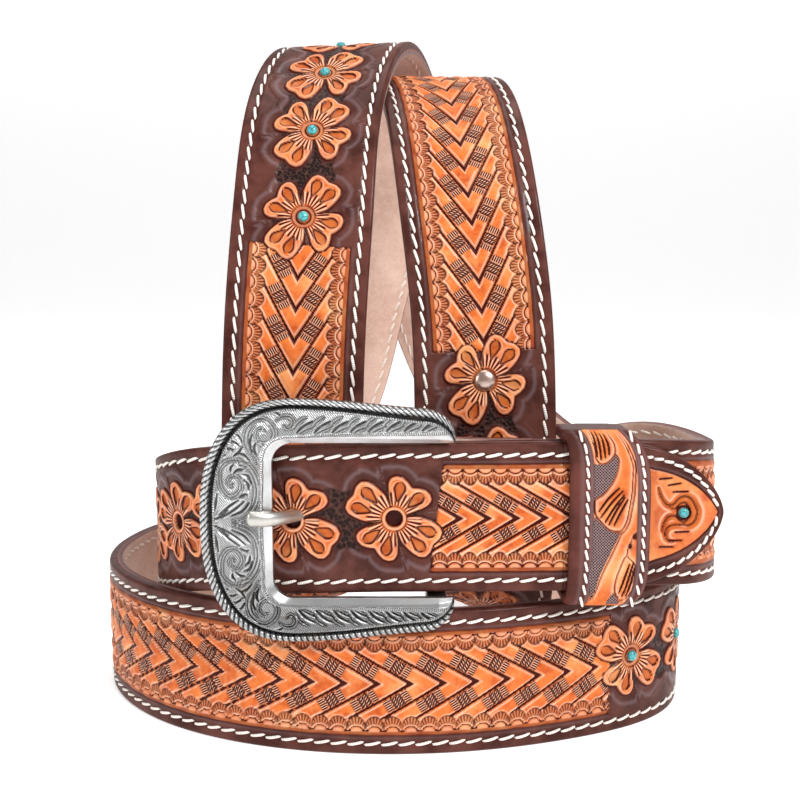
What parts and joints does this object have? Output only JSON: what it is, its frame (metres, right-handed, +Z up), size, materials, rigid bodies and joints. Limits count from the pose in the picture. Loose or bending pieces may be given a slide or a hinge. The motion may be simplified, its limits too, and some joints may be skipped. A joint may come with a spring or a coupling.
{
  "type": "western leather belt",
  "caption": "Tooled brown leather belt, buckled and set down in a raised coil, with an engraved metal buckle, a carved keeper loop and small stones.",
  "frame": {"origin": "on the surface that the coil stands on, under the middle of its bounding box", "axes": "+Z is up; +X runs along the buckled front from the buckle to the pointed tip; +Y goes from the buckled front to the back"},
  "size_m": [0.1783, 0.151, 0.1947],
  "materials": {
    "tooled_leather": "tooled, hand-dyed, satin",
    "suede_lining": "soft napped suede",
    "keeper_leather": "tooled, dark-dyed borders",
    "buckle_metal": "antique silver, engraved",
    "prong_metal": "polished, lightly worn",
    "rivet_metal": "polished dome",
    "stone": "polished turquoise stone"
  },
  "bodies": {
    "root": {"strap": "tooled_leather", "lining": "suede_lining", "keeper": "keeper_leather", "buckle_frame": "buckle_metal", "prong": "prong_metal", "tip_stone": "stone", "right_arch_dome": "rivet_metal", "lower_stone_a": "stone", "lower_stone_b": "stone", "left_arch_stone_a": "stone", "left_arch_stone_b": "stone", "left_arch_stone_c": "stone", "left_arch_stone_d": "stone"}
  },
  "joints": []
}
